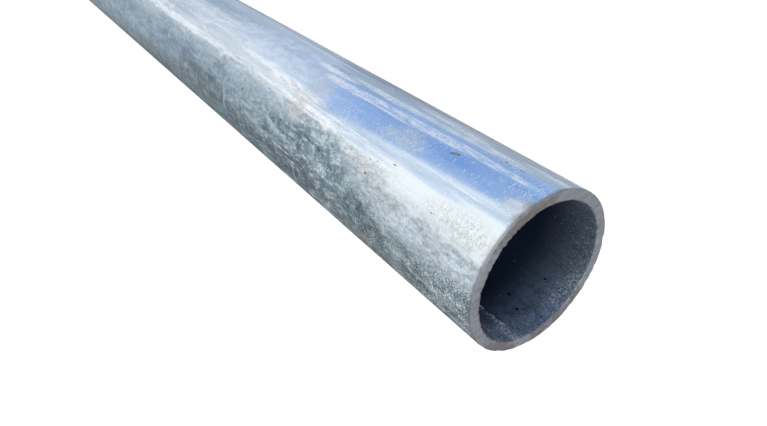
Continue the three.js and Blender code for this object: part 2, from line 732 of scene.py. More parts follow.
        # Clouds of 4 to 5 mm near the end, and of 3 by 13 mm lower down, where the zinc ran. The
        # real crystals are a tenth of a millimetre: the grains are coarser, so that they show.
        blotches, drawn, broad, grains, slivers, wisps = where.patterns(
            Grain(4.2, 5.5, 6.0, 0.72, 0.5), Grain(3.4, 13, 6.0, 0.66, 0.9),
            Grain(12, 60, 2.0), Grain(0.4, 0.42, 3.0, 0.7), Grain(1.2, 3.0, 3.0, 0.5, 1.0),
            Grain(7.0, 2.6, 4.0, 0.55, 1.2))
        drawn = add_node(tree, "ShaderNodeMapRange", {
            "Value": drawn, "From Min": 0.24, "From Max": 0.76, "To Min": 0.08, "To Max": 0.88})
        lower = add_node(tree, "ShaderNodeMapRange", {
            "Value": where.down, "From Min": 38.0, "From Max": 80.0, "To Max": 0.85},
            interpolation_type="SMOOTHSTEP")
        clouds, flecks = (
            add_node(tree, "ShaderNodeMix", {"Factor": lower, "A": by_end, "B": below},
                     data_type="FLOAT")
            for by_end, below in ((blotches, drawn), (grains, slivers)))
        swell = weighed(
            tree, clouds, (broad, 0.45), (where.near(self.pales), 0.12),
            (where.facing(self.weathered_centre, start=64.0, full=92.0, most=0.07), 1.0),
            (where.facing(self.behind, start=78.0, full=30.0, most=0.09), 1.0))
        dark, pale = (
            add_node(tree, "ShaderNodeMapRange", {
                "Value": swell, "From Min": low, "From Max": high},
                interpolation_type="SMOOTHSTEP")
            for low, high in ((0.74, 0.58), (0.73, 0.90)))
        # It is cooler and paler low down, and painted shade darkens it along one line.
        cool, bared, wispy = (
            add_node(tree, "ShaderNodeMapRange", {
                "Value": where.down, "From Min": start, "From Max": end, "To Min": first,
                "To Max": last})
            for start, end, first, last in (
                (40.0, 260.0, 0.0, 0.55), (10.0, 150.0, 1.0, 0.15), (30.0, 70.0, 0.0, 0.55)))
        colour = layered(tree, self.patina, (dark, self.patina_dark), (pale, self.patina_light),
                         (cool, self.far_tint))
        # Painted shade along one line down the tube.
        painted_shade_share = where.facing(self.darkest, start=46.0, full=8.0, most=0.75, ease=Ease.SOFT)
        colour = add_node(tree, "ShaderNodeMix", {
            "Factor": painted_shade_share, "A": colour, "B": linear(self.painted_shade_tint)}, data_type="RGBA",
            blend_type="MULTIPLY")
        # Painted shade as well: darker places on the weathered side, most of them near its darkest
        # line.
        shaded = risen(tree, (where.near(self.shades), (wander, 1.6)), low=0.85, high=1.7,
                       most=0.66)
        # Light grains in clusters near the end, slivers along the tube lower down, and pale wisps
        # round it from a little below the end.
        flecks = risen(tree, (flecks, (swell, 0.4)), low=0.785, high=0.94)
        flecks = add_node(tree, "ShaderNodeMath", (flecks, bared), operation="MULTIPLY")
        wisps = add_node(tree, "ShaderNodeMapRange", {
            "Value": wisps, "From Min": 0.52, "From Max": 0.72, "To Max": wispy},
            interpolation_type="SMOOTHSTEP")
        return layered(tree, colour, (shaded, self.shade), (flecks, self.fleck),
                       (wisps, self.wisp)), clouds

    def laced(self, where: TubeCoordinates, colour: Socket, ragged: Socket) -> Socket:
        """Lay pale blue blotches with a lighter lace in them over a colour.

        Args:
            where: The tube's coordinates in this material.
            colour: The colour underneath.
            ragged: A fine noise that breaks up the blotches' edges.

        Returns:
            The colour with the blotches on it.
        """
        tree = where.tree
        mesh = 2.4  # width of a loop of the lace, in millimetres
        warp = where.patterns(Grain(1.6, 1.6, 3.0))[0].node.outputs["Color"]
        warped = add_node(tree, "ShaderNodeVectorMath", (
            warp, (mesh, mesh, mesh), where.place), operation="MULTIPLY_ADD")
        cells = add_node(tree, "ShaderNodeTexVoronoi", {"Vector": warped, "Scale": 1 / mesh},
                         feature="F1")
        near = where.near(self.laces)
        spread = weighed(tree, near, (ragged, 2.4))
        # The lace's loops and the blotches' rims are lines where a value passes a level.
        lines = []
        for value, level, edge, core, most in ((cells, 0.38, 0.13, 0.02, 0.85),
                                               (spread, 1.6, 0.2, 0.03, 0.7)):
            off = add_node(tree, "ShaderNodeMath", (value, level), operation="SUBTRACT")
            off = add_node(tree, "ShaderNodeMath", (off,), operation="ABSOLUTE")
            lines.append(add_node(tree, "ShaderNodeMapRange", {
                "Value": off, "From Min": edge, "From Max": core, "To Max": most},
                interpolation_type="SMOOTHSTEP"))
        loops, rim = lines
        inside = add_node(tree, "ShaderNodeMapRange", {
            "Value": spread, "From Min": 1.4, "From Max": 1.85},
            interpolation_type="SMOOTHSTEP")
        web = add_node(tree, "ShaderNodeMath", (loops, inside), operation="MULTIPLY")
        web = add_node(tree, "ShaderNodeMath", (web, rim), operation="MAXIMUM")
        body = add_node(tree, "ShaderNodeMath", (inside, 0.3), operation="MULTIPLY")
        share = weighed(tree, body, (web, 0.4))
        near = add_node(tree, "ShaderNodeMath", (near, 6.0), operation="MULTIPLY", use_clamp=True)
        share = add_node(tree, "ShaderNodeMath", (share, near), operation="MULTIPLY")
        return layered(tree, colour, (share, layered(tree, self.lace, (web, self.lace_line))))

    def ground(self, where: TubeCoordinates, noise: SkinNoise) -> tuple[Socket, Socket, Socket]:
        """The two sides and the veil between them.

        The weathered side dissolves into the wiped side through the pale veil, and reaches further
        round lower down, where the veil is narrow.

        Args:
            where: The tube's coordinates in this material.
            noise: The shared patterns.

        Returns:
            The colour, the weathered side's share, and the height of its clouds.
        """
        tree = where.tree
        mottle, clouds = self.mottled(where, noise.wander)
        off = add_node(tree, "ShaderNodeMath", (where.away_from(self.weathered_centre),),
                       operation="ABSOLUTE")
        # How many degrees each noise, which averages one half, pushes the edge to and fro.
        pushes = ((noise.wander, 34.0), (clouds, 28.0), (noise.ragged, 8.0))
        off = weighed(tree, off, *((value, -push) for value, push in pushes))
        off = add_node(tree, "ShaderNodeMath", (off, sum(push for _, push in pushes) / 2),
                       operation="ADD")
        lower = add_node(tree, "ShaderNodeMapRange", {
            "Value": where.down, "From Min": 34.0, "From Max": 62.0},
            interpolation_type="SMOOTHSTEP")
        reach = self.weathered_half + self.veil_width
        shrink = self.veil_width - self.creep - self.veil_thinning
        weathered, veiled = (
            risen(tree, (off, (lower, shift)), low=half + outwards, high=half - inwards)
            for shift, half, (outwards, inwards) in (
                (-self.creep, self.weathered_half, self.edge_fade),
                (shrink, reach, self.veil_fade)))
        foam, = where.patterns(Grain(1.1, 2.2, 5.0, 0.68, 0.5))
        foam = add_node(tree, "ShaderNodeMapRange", {
            "Value": foam, "From Min": 0.36, "From Max": 0.64}, interpolation_type="SMOOTHSTEP")
        cooled = add_node(tree, "ShaderNodeMapRange", {
            "Value": where.down, "From Min": 50.0, "From Max": 110.0, "To Max": 0.45})
        veil = layered(tree, self.veil_dark, (foam, self.veil_light), (cooled, self.far_tint))
        colour = layered(tree, self.wiped(where), (veiled, veil), (weathered, mottle))
        return self.laced(where, colour, noise.ragged), weathered, clouds

    def hazed(self, where: TubeCoordinates, noise: SkinNoise,
              colour: Socket) -> tuple[Socket, Socket]:
        """Lay bluish tints and an uneven whitish haze over a colour.

        Args:
            where: The tube's coordinates in this material.
            noise: The shared patterns.
            colour: The colour underneath.

        Returns:
            The colour with them on it, and the haze's share.
        """
        tree = where.tree
        tinted = risen(tree, (where.near(self.tints), (noise.wander, 1.4)), low=0.85, high=1.6,
                       most=0.6)
        share = risen(tree, (where.near(self.hazes), (noise.ragged, 1.2)), low=0.74, high=1.15,
                      most=0.55)
        uneven, = where.patterns(Grain(4.5, 9, 4.0, 0.6, 1.0))
        uneven = add_node(tree, "ShaderNodeMapRange", {
            "Value": uneven, "From Min": 0.38, "From Max": 0.62},
            interpolation_type="SMOOTHSTEP")
        haze = layered(tree, self.haze_dark, (uneven, self.haze_light))
        return layered(tree, colour, (tinted, self.tint), (share, haze)), share

    def scratched(self, where: TubeCoordinates, noise: SkinNoise, colour: Socket,
                  weathered: Socket) -> tuple[Socket, Socket]:
        """Lay pale marks over a colour: hairlines round the tube, scratches and frosty streaks.

        Args:
            where: The tube's coordinates in this material.
            noise: The shared patterns.
            colour: The colour underneath.
            weathered: The weathered side's share, where the hairlines are faint.

        Returns:
            The colour with the marks on it, and their share.
        """
        tree = where.tree
        hairlines = risen(tree, (noise.strokes, (noise.wander, 0.35)), low=0.745, high=0.87,
                          most=0.52)
        wiped_share = add_node(tree, "ShaderNodeMath", (weathered, -0.75, 1.0),
                               operation="MULTIPLY_ADD")
        hairlines = add_node(tree, "ShaderNodeMath", (hairlines, wiped_share), operation="MULTIPLY")
        scratches = risen(tree, (where.near(self.scratches), (noise.brushed, 2.0)), low=1.35,
                          high=2.1, most=0.6)
        grain = risen(tree, (noise.grit, (noise.brushed, 1.1)), low=0.86, high=1.26, most=0.95,
                      least=0.2)
        frosted = add_node(tree, "ShaderNodeMapRange", {
            "Value": where.near(self.frosts), "From Max": 0.75, "To Max": 0.9},
            interpolation_type="SMOOTHSTEP")
        frosted = add_node(tree, "ShaderNodeMath", (frosted, grain), operation="MULTIPLY")
        pale = add_node(tree, "ShaderNodeMath", (hairlines, scratches), operation="MAXIMUM")
        colour = layered(tree, colour, (pale, self.streak_light), (frosted, self.frost))
        return colour, add_node(tree, "ShaderNodeMath", (pale, frosted), operation="MAXIMUM")

    def soiled(self, where: TubeCoordinates, noise: SkinNoise,
               colour: Socket) -> tuple[Socket, tuple[Socket, ...]]:
        """Lay scuffs of fine specks, stains, scribbled grime, dark specks and painted shadows over
        a colour.

        Args:
            where: The tube's coordinates in this material.
            noise: The shared patterns.
            colour: The colour underneath.

        Returns:
            The colour with them on it, and the shares that dull the zinc.
        """
        tree = where.tree
        scuffed = risen(tree, (noise.wander, (noise.ragged, 1.8), (noise.grit, 1.8),
                               (where.near(self.scuffs), 1.0)), low=2.65, high=3.55, most=0.95)
        broken = add_node(tree, "ShaderNodeMapRange", {
            "Value": noise.grit, "From Min": 0.38, "From Max": 0.62, "To Min": 0.15,
            "To Max": 1.0}, interpolation_type="SMOOTHSTEP")
        scuffed = add_node(tree, "ShaderNodeMath", (scuffed, broken), operation="MULTIPLY")
        stained = risen(tree, (where.near(self.stains), (noise.dust, 1.0),
                               (noise.brushed, 1.8)), low=1.55, high=2.5, most=0.6)
        scribble, = where.patterns(Grain(1.5, 1.0, 3.0, 0.65, 0.9))
        scribble = add_node(tree, "ShaderNodeMath", (scribble, 0.5), operation="SUBTRACT")
        scribble = add_node(tree, "ShaderNodeMath", (scribble,), operation="ABSOLUTE")
        scribble = add_node(tree, "ShaderNodeMapRange", {
            "Value": scribble, "From Min": 0.05, "From Max": 0.0, "To Max": 0.75},
            interpolation_type="SMOOTHSTEP")
        grimy = add_node(tree, "ShaderNodeMath", (where.near(self.grimes), 1.2),
                         operation="MULTIPLY", use_clamp=True)
        grimy = add_node(tree, "ShaderNodeMath", (grimy, scribble), operation="MULTIPLY")
        # Dark specks, and the painted shadows round two small lumps.
        blotted = risen(tree, (where.near(self.specks_and_shadows), (noise.dust, 1.3)), low=1.1, high=1.35,
                        most=0.85, ease=Ease.EVEN)
        on_dash = where.near(self.dashes)
        dashed = risen(tree, (on_dash, (noise.dust, 4.0)), low=2.9, high=3.3, most=0.7,
                       ease=Ease.EVEN)
        dashed = add_node(tree, "ShaderNodeMath", (dashed, on_dash), operation="MULTIPLY")
        dashed = add_node(tree, "ShaderNodeMath", (dashed, 1.5), operation="MULTIPLY",
                          use_clamp=True)
        for specks in (where.dots(pitch=7.0, edge=0.045, core=0.025, most=0.7), dashed):
            blotted = add_node(tree, "ShaderNodeMath", (blotted, specks), operation="MAXIMUM")
        colour = layered(tree, colour, (scuffed, self.scuff), (stained, self.stain),
                         (grimy, self.grime), (blotted, self.speck_and_shadow),
                         (where.near(self.flakes), self.grime))
        return colour, (scuffed, grimy, stained, blotted)

    def surface(self, where: TubeCoordinates) -> tuple[dict[str, Any], Socket]:
        """Add the finish's own nodes.

        Args:
            where: The tube's coordinates in this material.

        Returns:
            What goes into the shader's inputs, and the height of the bumps.
        """
        tree = where.tree
        # The real hairlines and grit are finer than a tenth of a millimetre, so they are drawn as
        # coarse as they need to show.
        noise = SkinNoise(*where.patterns(
            Grain(2.2, 2.0, 6.0, 0.75), Grain(7, 26, 4.0, 0.6), Grain(1.5, 0.34, 3.0, 0.65),
            Grain(1.0, 0.85, 4.0, 0.65), Grain(0.9, 5.5, 5.0, 0.65), Grain(0.55, 0.7, 5.0, 0.75)))
        colour, weathered, clouds = self.ground(where, noise)
        colour, haze = self.hazed(where, noise, colour)
        colour, pale = self.scratched(where, noise, colour, weathered)
        colour, dulling = self.soiled(where, noise, colour)

        # The broken edge at each end: grey where the zinc is worn, brown where it chipped off.
        lip = add_node(tree, "ShaderNodeAttribute", attribute_name="outer_lip").node.outputs["Fac"]
        chipped = risen(tree, (noise.ragged, (noise.wander, 1.5)), low=1.32, high=1.48,
                        ease=Ease.EVEN)
        lip = add_node(tree, "ShaderNodeMapRange", {
            "Value": lip, "From Min": 0.1, "From Max": 1.0, "To Max": 0.8})
        colour = layered(tree, colour, (
            lip, layered(tree, self.edge_worn, (chipped, self.edge_rust))))
        matt_lip = add_node(tree, "ShaderNodeMath", (lip, 1.5), operation="MULTIPLY")

        matt = weathered
        for dull in (haze, *dulling, matt_lip):
            matt = add_node(tree, "ShaderNodeMath", (matt, dull), operation="MAXIMUM")
        matt = add_node(tree, "ShaderNodeMath", (matt, pale), operation="ADD")
        roughness, metallic = (
            add_node(tree, "ShaderNodeMapRange", {
                "Value": matt, "To Min": on_wiped, "To Max": on_matt})
            for on_wiped, on_matt in ((self.wiped_roughness, self.matt_roughness),
                                      (1.0, self.matt_metal)))
        height = add_node(tree, "ShaderNodeMath", (clouds, weathered), operation="MULTIPLY")
        return ({"Base Color": colour, "Metallic": metallic, "Roughness": roughness},
                weighed(tree, height, (noise.strokes, 0.25)))


@dataclass(frozen=True)
class BoreZinc(Finish):
    """Zinc inside the bore, where it ran and cooled slowly: dull, grainy, darker further in.

    No wiping reached it, so it mirrors nothing: it shows its grains near the mouth and whitish
    crumbs where it ran together. Its darkening further in is painted shade, its blue tone is
    painted blue skylight, and a broken painted highlight lies along the weld bead's crest.
    """

    name: ClassVar[str] = "bore_zinc"
    relief: ClassVar[float] = 0.15
    relief_strength: ClassVar[float] = 0.5
    # The blue of the dark and mid tones is painted skylight, and the deep colour is painted shade.
    deep: str = "#02182F"
    dark: str = "#3E4D63"
    mid: str = "#60789A"
    grey_dark: str = "#3C454E"
    grey: str = "#545E68"
    grain: str = "#B4C2D2"
    crest_highlight: str = "#C4D0DC"
    dark_spot: str = "#0D131B"
    grey_side: float = -168.0  # degrees round to the middle of its greyer side
    crumbs: tuple[Patch, ...] = (
        Patch(4, 84, 8, 26), Patch(2.5, 72, 5, 16), Patch(2, 158, 3.5, 22),
        Patch(3, 146, 5, 16), Patch(8, -147, 0.9, 2.4), Patch(996, 40, 8, 60))
    # Where small dark spots lie.
    dark_spots: tuple[Patch, ...] = (
        Patch(14.7, 120.8, 0.8, 1.6), Patch(9, 114.5, 0.6, 1.8), Patch(9.6, 148.6, 0.55, 1.2),
        Patch(1.6, 159.4, 0.3, 0.8))

    def surface(self, where: TubeCoordinates) -> tuple[dict[str, Any], Socket]:
        """Add the finish's own nodes.

        Args:
            where: The tube's coordinates in this material.

        Returns:
            What goes into the shader's inputs, and the height of the bumps.
        """
        tree = where.tree
        # Its grains are a tenth of a millimetre, so they are drawn as coarse as they need to show.
        clouds, grains, crumbs = where.patterns(
            Grain(2.6, 4.5, 6.0, 0.68), Grain(0.42, 0.5, 6.0, 0.8), Grain(0.6, 0.75, 4.0, 0.65))
        tone = add_node(tree, "ShaderNodeMapRange", {
            "Value": clouds, "From Min": 0.35, "From Max": 0.65},
            interpolation_type="SMOOTHSTEP")
        greyer = layered(tree, self.grey_dark, (tone, self.grey))
        side = where.facing(self.grey_side, start=62.0, full=22.0, most=0.8, ease=Ease.SOFT)

        # Both ends are paler: painted shade darkens the bore further in from each end.
        far_end = add_node(tree, "ShaderNodeMath", (self.tube_length, where.down),
                           operation="SUBTRACT")
        depth = add_node(tree, "ShaderNodeMath", (where.down, far_end), operation="MINIMUM")
        inside = weighed(tree, depth, (clouds, 7.0))
        sunk = add_node(tree, "ShaderNodeMapRange", {
            "Value": inside, "From Min": 6.0, "From Max": 25.0, "To Max": 0.97},
            interpolation_type="SMOOTHSTEP")
        colour = layered(tree, self.dark, (tone, self.mid), (side, greyer), (sunk, self.deep))

        # Light grains, dense at the mouth and few further in, and coarser crumbs of zinc.
        dense = add_node(tree, "ShaderNodeMapRange", {
            "Value": inside, "From Min": 3.0, "From Max": 18.0, "To Min": 0.08,
            "To Max": -0.02})
        speckle = risen(tree, (grains, (dense, 1.0)), low=0.54, high=0.73, most=0.74)
        outward = add_node(tree, "ShaderNodeMapRange", {
            "Value": sunk, "To Min": 1.0, "To Max": 0.2})
        speckle = add_node(tree, "ShaderNodeMath", (speckle, outward), operation="MULTIPLY")
        crumbled = risen(tree, (crumbs, (where.near(self.crumbs), 0.21)), low=0.63, high=0.84,
                         most=0.68)
        speckle = add_node(tree, "ShaderNodeMath", (speckle, crumbled), operation="MAXIMUM")

        # Painted highlight: the crests of the weld bead and the run of zinc beside it are painted a
        # broken whitish near the mouth.
        crest = add_node(tree, "ShaderNodeAttribute", attribute_name="ridge").node.outputs["Fac"]
        crest = add_node(tree, "ShaderNodeMath", (crest, 1.1), operation="POWER")
        crest_lit = risen(tree, (crest, (crumbs, 4.0), (depth, -0.028)), low=2.55, high=3.1,
                        most=0.95)
        spotted = add_node(tree, "ShaderNodeMath", (where.near(self.dark_spots), 2.0),
                          operation="MULTIPLY", use_clamp=True)
        specks = where.dots(pitch=7.0, edge=0.07, core=0.04, most=0.8)
        spotted = add_node(tree, "ShaderNodeMath", (spotted, specks), operation="MAXIMUM")
        sparks = where.dots(pitch=2.6, edge=0.085, core=0.05, most=0.6)
        colour = layered(tree, colour, (speckle, self.grain), (crest_lit, self.crest_highlight),
                         (sparks, self.grain), (spotted, self.dark_spot))
        return {"Base Color": colour, "Metallic": 0.5, "Roughness": 0.6}, grains


@dataclass(frozen=True)
class SawnSteel(Finish):
    """Bare mild steel of the sawn end, which the zinc no longer covers.

    The blade leaves it dull grey with straight lines across it, and the air a little rust.
    """

    name: ClassVar[str] = "sawn_steel"
    relief: ClassVar[float] = 0.06
    relief_strength: ClassVar[float] = 0.4
    steel: str = "#8E9299"
    groove: str = "#6C6F77"
    ridge: str = "#A0A3AA"
    rust: str = "#6A6158"
    burr: str = "#544F4B"
    rusted: tuple[Patch, ...] = (
        Patch(0, 74, 5, 24), Patch(0, 131, 5, 16), Patch(0, 112, 5, 12), Patch(0, 152, 5, 9),
        Patch(0, -50, 5, 40), Patch(1000, 20, 5, 26))
    blade_direction: float = 27.7  # degrees from +X that the blade's lines run
    line_pitch: float = 0.55  # millimetres: wider than the real lines, so that they show
    line_length: float = 6.0  # millimetres that a line runs before it changes

    def surface(self, where: TubeCoordinates) -> tuple[dict[str, Any], Socket]:
        """Add the finish's own nodes.

        Args:
            where: The tube's coordinates in this material.

        Returns:
            What goes into the shader's inputs, and the height of the bumps.
        """
        tree = where.tree
        turned = add_node(tree, "ShaderNodeMapping", {
            "Vector": where.place, "Rotation": (0, 0, math.radians(-self.blade_direction))})
        stretched = add_node(tree, "ShaderNodeVectorMath", (
            turned, (1 / self.line_length, 1 / self.line_pitch, 1.0)),
            operation="MULTIPLY")
        lines = add_node(tree, "ShaderNodeTexNoise", {
            "Vector": stretched, "Scale": 1.0, "Detail": 5.0, "Roughness": 0.68})
        low, high = (
            add_node(tree, "ShaderNodeMapRange", {
                "Value": lines, "From Min": start, "From Max": full},
                interpolation_type="SMOOTHSTEP")
            for start, full in ((0.5, 0.34), (0.52, 0.68)))
        mottle, = where.patterns(Grain(1.3, 1.3, 6.0, 0.8))
        rusty = risen(tree, (mottle, (where.near(self.rusted), 0.24)), low=0.56, high=0.74,
                      most=0.7)
        lip = add_node(tree, "ShaderNodeAttribute", attribute_name="inner_lip").node.outputs["Fac"]
        burred = risen(tree, (lip, (mottle, 1.4)), low=1.5, high=1.9, most=0.7, ease=Ease.EVEN)
        colour = layered(tree, self.steel, (low, self.groove), (high, self.ridge),
                         (rusty, self.rust), (burred, self.burr))
        return {"Base Color": colour, "Metallic": 0.7, "Roughness": 0.5}, lines


# ---------------------------------------------------------------------------------------------
# The tube
# ---------------------------------------------------------------------------------------------

class Surface(Enum):
    """The part of the wall that a ring of points belongs to."""

    SKIN = "skin"
    FACE = "face"
    BORE = "bore"


class End(Enum):
    """An end of the tube, and which way it points."""

    TOP = 1.0
    BOTTOM = -1.0


@dataclass(frozen=True)
class Ring:
    """One ring of points round the tube: one point of the wall's section. In millimetres."""

    radius: float
    height: float
    surface: Surface
    outer_lip: float  # how far the ring follows the chips of the outer edge
    inner_lip: float  # how far the ring follows the notches of the inner edge
    end: End  # the nearer one


def spaced(start: float, stop: float, pitch: float) -> list[float]:
    """Even steps of about this pitch from start up to, but not including, stop."""
    count = max(1, round(abs(stop - start) / pitch))
    return [start + (stop - start) * i / count for i in range(count)]


@dataclass(frozen=True)
class WallSection:
    """The closed outline of the tube's wall, swept round the axis to make the tube. Millimetres.

    Its points lie close together near the ends, where the eye comes near.
    """

    outside_radius: float = 24.15
    wall: float = 3.2
    length: float = 1000.0
    lip: float = 0.3  # radius of the broken edges
    lip_steps: int = 4
    face_pitch: float = 0.22
    end_pitch: float = 2.0  # close to the bottom end
    # How far down a stretch reaches, and the step within it.
    skin_pitches: tuple[tuple[float, float], ...] = (
        (8.0, 0.5), (60.0, 1.0), (200.0, 3.0), (992.0, 24.0))
    bore_pitches: tuple[tuple[float, float], ...] = ((6.0, 0.5), (45.0, 1.5), (992.0, 30.0))
    # How far the damage of an edge reaches over the wall beside it.
    chip_reach: float = 0.45
    notch_reach: float = 0.6
    side_reach: float = 0.9

    def along(self, pitches: Iterable[tuple[float, float]]) -> list[float]:
        """Distances down from the top lip to the bottom lip, wider apart further down.

        Args:
            pitches: Pairs of how far down a stretch reaches and the step within it.

        Returns:
            The distances, in rising order.
        """
        places: list[float] = []
        start, last = self.lip, self.length - self.lip
        for reach, pitch in pitches:
            places += spaced(start, reach, pitch)
            start = reach
        return [*places, *spaced(start, last, self.end_pitch), last]

    def side_rings(self, surface: Surface) -> list[Ring]:
        """The skin or the bore, which follows the lip's damage close to an end.

        Args:
            surface: Which of them.

        Returns:
            The rings, from the top down.
        """
        outer = surface is Surface.SKIN
        radius = self.outside_radius - (0.0 if outer else self.wall)
        rings = []
        for down in self.along(self.skin_pitches if outer else self.bore_pitches):
            from_end = min(down, self.length - down)
            near = max(0.0, 1 - (from_end - self.lip) / self.side_reach)
            rings.append(Ring(radius, self.length - down, surface, near if outer else 0.0,
                              0.0 if outer else near,
                              End.TOP if down < self.length / 2 else End.BOTTOM))
        return rings

    def lip_rings(self, side: Surface, end: End) -> list[Ring]:
        """The rounded edge between the skin or bore and an end face.

        Args:
            side: The skin, for the outer edge, or the bore, for the inner edge.
            end: The end of the tube.

        Returns:
            The rings from the wall's side to the face's side, both end points left out.
        """
        outer = side is Surface.SKIN
        centre = self.outside_radius - (self.lip if outer else self.wall - self.lip)
        rings = []
        for step in range(1, self.lip_steps):
            angle = math.pi / 2 * step / self.lip_steps
            radius = centre + (1 if outer else -1) * self.lip * math.cos(angle)
            rise = self.lip * (1 - math.sin(angle))
            height = self.length - rise if end is End.TOP else rise
            rings.append(Ring(radius, height, Surface.SKIN if outer else Surface.FACE,
                              float(outer), float(not outer), end))
        return rings

    def face_rings(self, end: End) -> list[Ring]:
        """The flat sawn end.

        Args:
            end: The end of the tube.

        Returns:
            The rings, from its outer edge to its inner edge.
        """
        outer, inner = self.outside_radius - self.lip, self.outside_radius - self.wall + self.lip
        height = self.length if end is End.TOP else 0.0
        return [
            Ring(radius, height, Surface.FACE, max(0.0, 1 - (outer - radius) / self.chip_reach),
                 max(0.0, 1 - (radius - inner) / self.notch_reach), end)
            for radius in [*spaced(outer, inner, self.face_pitch), inner]]

    def rings(self) -> list[Ring]:
        """The whole outline.

        Returns:
            The rings up the skin, over the top end, down the bore and back under the bottom end.
        """
        return [
            *reversed(self.side_rings(Surface.SKIN)),
            *self.lip_rings(Surface.SKIN, End.TOP),
            *self.face_rings(End.TOP),
            *reversed(self.lip_rings(Surface.BORE, End.TOP)),
            *self.side_rings(Surface.BORE),
            *self.lip_rings(Surface.BORE, End.BOTTOM),
            *reversed(self.face_rings(End.BOTTOM)),
            *reversed(self.lip_rings(Surface.SKIN, End.BOTTOM)),
        ]


@dataclass(frozen=True)
class Ridge:
    """A low rounded ridge down the bore. Sizes in millimetres."""

    name: str
    width: float
    height: float
    angle: float  # degrees round the axis
    uneven: float  # share of its height that comes and goes


@dataclass
class SteelTube:
    """The tube: its wall swept round the axis, with weld bead, zinc run, sawn edges and waves."""

    section: WallSection = field(default_factory=WallSection)
    ridges: tuple[Ridge, ...] = (
        Ridge("Bead", 3.2, 0.7, 90.0, 0.4), Ridge("Run", 1.9, 0.28, 69.5, 0.6))
    ridge_sway: float = 0.1  # how far a ridge wanders round the bore, in radians
    around: int = 360  # points round the tube
    wave_height: float = 0.045  # the zinc's soft unevenness, in millimetres
    notch_depth: float = 0.42
    notch_angle: float = 20.0  # degrees round to where the blade broke out deepest
    chip_depth: float = 0.2
    finish_share: float = 0.4  # a face takes a finish that more of its corners than this have
    seed: int = 7

    def outline(self) -> bpy.types.Object:
        """Make the section as a closed line of points that carries what each ring needs to know.

        Returns:
            The object, whose mesh is still only that line.
        """
        rings = self.section.rings()
        count = len(rings)
        body = mesh_object("tube_body", [(r.radius * MM, r.height * MM, 0) for r in rings],
                           [(i, (i + 1) % count) for i in range(count)])
        columns: dict[str, list[float]] = {
            "wall_radius": [r.radius * MM for r in rings],
            "wall_height": [r.height * MM for r in rings],
            "on_face": [float(r.surface is Surface.FACE) for r in rings],
            "in_bore": [float(r.surface is Surface.BORE) for r in rings],
            "outer_lip": [r.outer_lip for r in rings],
            "inner_lip": [r.inner_lip for r in rings],
            "end_sign": [r.end.value for r in rings],
        }
        for name, values in columns.items():
            body.data.attributes.new(name, "FLOAT", "POINT").data.foreach_set("value", values)
        return body

    def add_inputs(self, tree: Tree) -> dict[str, float | int]:
        """Give the tree a named input for each size.

        Args:
            tree: The tree.

        Returns:
            The value for each input, by identifier.
        """
        for in_out in ("INPUT", "OUTPUT"):
            tree.interface.new_socket("Geometry", in_out=in_out, socket_type="NodeSocketGeometry")
        sizes: dict[str, float | int] = {
            "Points Around": self.around, "Seed": self.seed,
            "Wave Height": self.wave_height * MM, "Notch Depth": self.notch_depth * MM,
            "Notch Angle": math.radians(self.notch_angle), "Chip Depth": self.chip_depth * MM,
        }
        for ridge in self.ridges:
            sizes[f"{ridge.name} Width"] = ridge.width * MM
            sizes[f"{ridge.name} Height"] = ridge.height * MM
            sizes[f"{ridge.name} Angle"] = math.radians(ridge.angle)
        values: dict[str, float | int] = {}
        for name, value in sizes.items():
            kind = "NodeSocketInt" if isinstance(value, int) else "NodeSocketFloat"
            socket = tree.interface.new_socket(name, in_out="INPUT", socket_type=kind)
            values[socket.identifier] = value
        return values

    def swept(self, tree: Tree, given: Any) -> tuple[Socket, dict[str, Socket]]:
        """Sweep the section round a circle, which keeps each point's turn.

        Args:
            tree: The tree.
            given: The sockets of its inputs, by name.

        Returns:
            The swept wall, and what each of its points knows, by attribute.
        """
        circle = add_node(tree, "GeometryNodeCurvePrimitiveCircle", {
            "Resolution": given["Points Around"], "Radius": 1.0}, mode="RADIUS")
        step = add_node(tree, "ShaderNodeMath", (math.tau, given["Points Around"]),
                        operation="DIVIDE")
        index = add_node(tree, "GeometryNodeInputIndex")
        turned = add_node(tree, "ShaderNodeMath", (index, step), operation="MULTIPLY")
        circle = add_node(tree, "GeometryNodeStoreNamedAttribute", {
            "Geometry": circle, "Name": "turn", "Value": turned}, data_type="FLOAT",
            domain="POINT")
        outline = add_node(tree, "GeometryNodeMeshToCurve", {"Mesh": given["Geometry"]})
        wall = add_node(tree, "GeometryNodeCurveToMesh", {
            "Curve": circle, "Profile Curve": outline})
        names = ("wall_radius", "wall_height", "turn", "on_face", "in_bore", "outer_lip",
                 "inner_lip", "end_sign")
        return wall, {name: add_node(tree, "GeometryNodeInputNamedAttribute", {"Name": name},
                                     data_type="FLOAT") for name in names}

    @staticmethod
    def placed(tree: Tree, turn: Socket, radius: Socket, height: Socket) -> Socket:
        """Turn a place on the wall into a point.

        Args:
            tree: The tree.
            turn: How far round the axis it is, in radians.
            radius: Its distance from the axis.
            height: Its height.

        Returns:
            The point.
        """
        flat = [add_node(tree, "ShaderNodeMath", (
            radius, add_node(tree, "ShaderNodeMath", (turn,), operation=part)),
            operation="MULTIPLY") for part in ("COSINE", "SINE")]
        return add_node(tree, "ShaderNodeCombineXYZ", (flat[0], flat[1], height))

    def ridge_heights(self, tree: Tree, given: Any, ring: dict[str, Socket],
                      noise: dict[str, Socket]) -> dict[str, Socket]:
        """How high each ridge stands at a point.

        Args:
            tree: The tree.
            given: The sockets of its inputs, by name.
            ring: What each point knows, by attribute.
            noise: The noises, by name.

        Returns:
            The heights, by the ridge's name.
        """
        sway = add_node(tree, "ShaderNodeMapRange", {
            "Value": noise["sway"], "To Min": -self.ridge_sway, "To Max": self.ridge_sway})
        heights = {}
        for ridge in self.ridges:
            half = add_node(tree, "ShaderNodeMath", (given[f"{ridge.name} Width"], 0.5),
                            operation="MULTIPLY")
